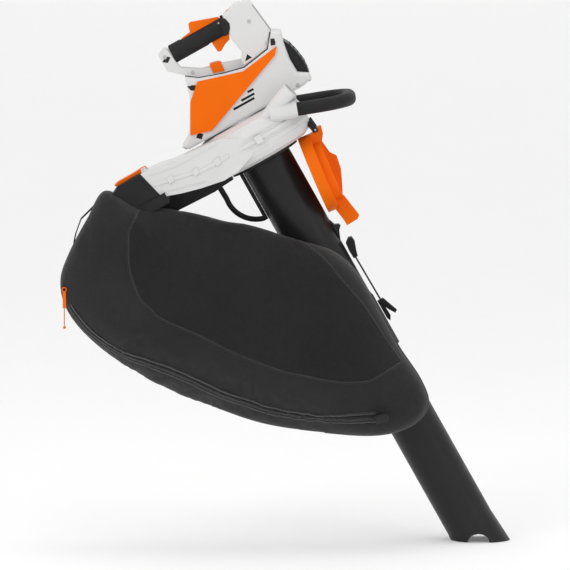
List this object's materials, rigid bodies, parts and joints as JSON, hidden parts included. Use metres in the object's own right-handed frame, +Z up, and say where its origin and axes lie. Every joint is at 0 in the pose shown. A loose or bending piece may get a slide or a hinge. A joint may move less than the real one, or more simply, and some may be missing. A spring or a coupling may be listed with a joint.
{
  "type": "leaf vacuum mulcher",
  "caption": "Hand-held cordless leaf vacuum mulcher with rear grip, front ring handle, fan and motor housing, long suction tube and a large fabric collecting bag.",
  "frame": {"origin": "middle of the rear grip, where the machine is held", "axes": "+Z up as the machine is held with its nozzle on the ground, +X towards the nozzle, -Y the side that the bag hangs on"},
  "size_m": [0.9831, 0.3523, 1.193],
  "materials": {
    "white_shell": "satin",
    "orange_plastic": "satin",
    "black_plastic": "satin",
    "soft_grip": "matte",
    "fan_plastic": "matte",
    "steel": "satin",
    "aluminium": "satin",
    "copper": "satin",
    "board": "satin",
    "bag_fabric": "matte",
    "webbing": "matte"
  },
  "bodies": {
    "machine": {"bag_adapter": "black_plastic", "bag_body": "bag_fabric", "bag_collar": "soft_grip", "bag_loop": "webbing", "bag_sleeve": "bag_fabric", "battery_terminals": "black_plastic", "controller_board": "board", "cover_hinge_bracket": "black_plastic", "cover_hinge_pin": "steel", "fan_clips": "white_shell", "fan_housing_lower": "white_shell", "fan_housing_upper": "white_shell", "grip_sleeve": "soft_grip", "handle_housing_left": "white_shell", "handle_housing_right": "white_shell", "handle_screws": "steel", "housing_screws": "steel", "lever_pins": "steel", "motor_bearing_lower": "steel", "motor_bearing_upper": "steel", "motor_end_cap": "aluminium", "motor_housing_left": "white_shell", "motor_housing_right": "white_shell", "motor_mount": "aluminium", "motor_stator": "copper", "rear_grille": "black_plastic", "ring_handle": "soft_grip", "side_panel_left": "orange_plastic", "side_panel_right": "orange_plastic", "strap_buckle": "black_plastic", "strap_hook_lower": "black_plastic", "strap_webbing": "webbing", "support_bar": "black_plastic", "support_loop": "black_plastic", "trigger_switch": "black_plastic", "tube_hook": "black_plastic", "tube_lower": "black_plastic", "tube_upper": "black_plastic", "zip_end_tab": "black_plastic", "zip_slider": "black_plastic"},
    "trigger": {"trigger": "orange_plastic"},
    "lockout_lever": {"lockout_lever": "orange_plastic"},
    "battery_lock_lever": {"battery_lock_lever": "orange_plastic"},
    "speed_button": {"speed_button": "orange_plastic"},
    "rotor": {"motor_shaft": "steel", "motor_rotor": "steel", "impeller": "fan_plastic", "shredder_blade": "steel", "blade_nut": "steel", "blade_spacer": "steel"},
    "intake_cover": {"intake_cover": "orange_plastic"},
    "adapter_latch": {"adapter_latch": "orange_plastic"},
    "zip_pull": {"zip_pull": "orange_plastic"}
  },
  "joints": [
    {"name": "trigger_pull", "type": "hinge", "parent": "machine", "child": "trigger", "pos_m": [0.05898, 0, 0.02157], "axis": [0, 1, 0], "range_deg": [0, 7], "stiffness_Nm_per_rad": 0.12, "springref_deg": -4.58},
    {"name": "lockout_press", "type": "hinge", "parent": "machine", "child": "lockout_lever", "pos_m": [0.04436, 0, 0.03745], "axis": [0, -1, 0], "range_deg": [0, 6], "stiffness_Nm_per_rad": 0.12, "springref_deg": -4.58},
    {"name": "battery_lock_swing", "type": "hinge", "parent": "machine", "child": "battery_lock_lever", "pos_m": [0.07776, 0, 0.04125], "axis": [0, 1, 0], "range_deg": [0, 6], "stiffness_Nm_per_rad": 0.12, "springref_deg": -4.58},
    {"name": "speed_button_press", "type": "slide", "parent": "machine", "child": "speed_button", "axis": [0.4886, 0, -0.8725], "range_m": [0, 0.0015], "stiffness_N_per_m": 300, "springref_m": -0.001},
    {"name": "rotor_spin", "type": "hinge", "parent": "machine", "child": "rotor", "pos_m": [0.11532, 0, -0.20591], "axis": [-0.4886, 0, 0.8725], "continuous": true},
    {"name": "cover_swing", "type": "hinge", "parent": "machine", "child": "intake_cover", "pos_m": [0.25631, 0, -0.19572], "axis": [0, -1, 0], "range_deg": [0, 55]},
    {"name": "latch_lift", "type": "hinge", "parent": "machine", "child": "adapter_latch", "pos_m": [-0.11824, 0, -0.27596], "axis": [0, 1, 0], "range_deg": [0, 30]},
    {"name": "zip_pull_swing", "type": "hinge", "parent": "machine", "child": "zip_pull", "pos_m": [-0.2895, -0.146, -0.5305], "axis": [0, 1, 0], "range_deg": [0, 60]}
  ]
}
